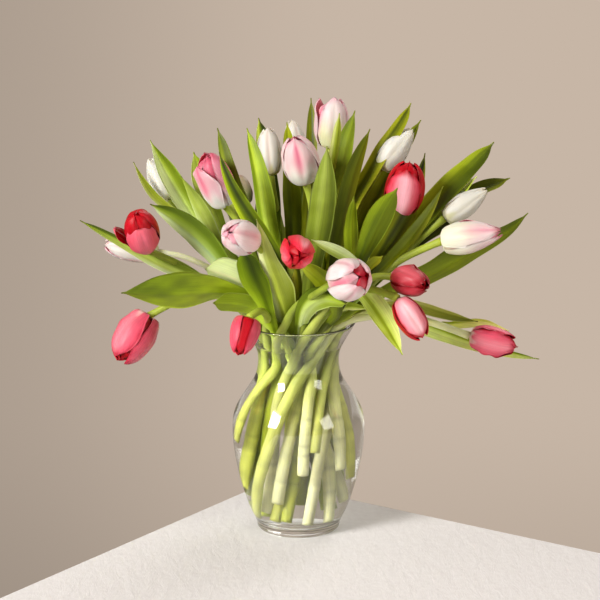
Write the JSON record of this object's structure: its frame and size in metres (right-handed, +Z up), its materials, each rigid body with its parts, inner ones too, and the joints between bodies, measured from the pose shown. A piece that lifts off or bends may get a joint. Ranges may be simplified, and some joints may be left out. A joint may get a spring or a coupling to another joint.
{
  "type": "tulips in a glass vase",
  "caption": "Cut tulips in red, pink and white with long lance-shaped leaves, fanned out of a clear baluster glass vase with a flared rim.",
  "frame": {"origin": "centre of the vase's foot, on the surface it stands on", "axes": "+Z up the vase's axis, -Y towards the side seen first, +X to the right of that view"},
  "size_m": [0.4251, 0.2829, 0.4085],
  "materials": {
    "glass": "clear, polished",
    "stem_and_leaf": "satin, waxy",
    "petals_red": "satin",
    "petals_pink": "satin",
    "petals_white": "satin",
    "petals_bud": "satin"
  },
  "bodies": {
    "root": {"vase": "glass", "plant_01": "stem_and_leaf", "plant_02": "stem_and_leaf", "plant_03": "stem_and_leaf", "plant_04": "stem_and_leaf", "plant_05": "stem_and_leaf", "plant_06": "stem_and_leaf", "plant_07": "stem_and_leaf", "plant_08": "stem_and_leaf", "plant_09": "stem_and_leaf", "plant_10": "stem_and_leaf", "plant_11": "stem_and_leaf", "plant_12": "stem_and_leaf", "plant_13": "stem_and_leaf", "plant_14": "stem_and_leaf", "plant_15": "stem_and_leaf", "plant_16": "stem_and_leaf", "plant_17": "stem_and_leaf", "plant_18": "stem_and_leaf", "plant_19": "stem_and_leaf", "plant_20": "stem_and_leaf", "plant_21": "stem_and_leaf", "flower_01": "petals_red", "flower_02": "petals_red", "flower_03": "petals_pink", "flower_04": "petals_white", "flower_05": "petals_pink", "flower_06": "petals_pink", "flower_07": "petals_red", "flower_08": "petals_bud", "flower_09": "petals_white", "flower_10": "petals_pink", "flower_11": "petals_white", "flower_12": "petals_pink", "flower_13": "petals_red", "flower_14": "petals_pink", "flower_15": "petals_white", "flower_16": "petals_red", "flower_17": "petals_white", "flower_18": "petals_pink", "flower_19": "petals_red", "flower_20": "petals_red", "flower_21": "petals_red"}
  },
  "joints": []
}
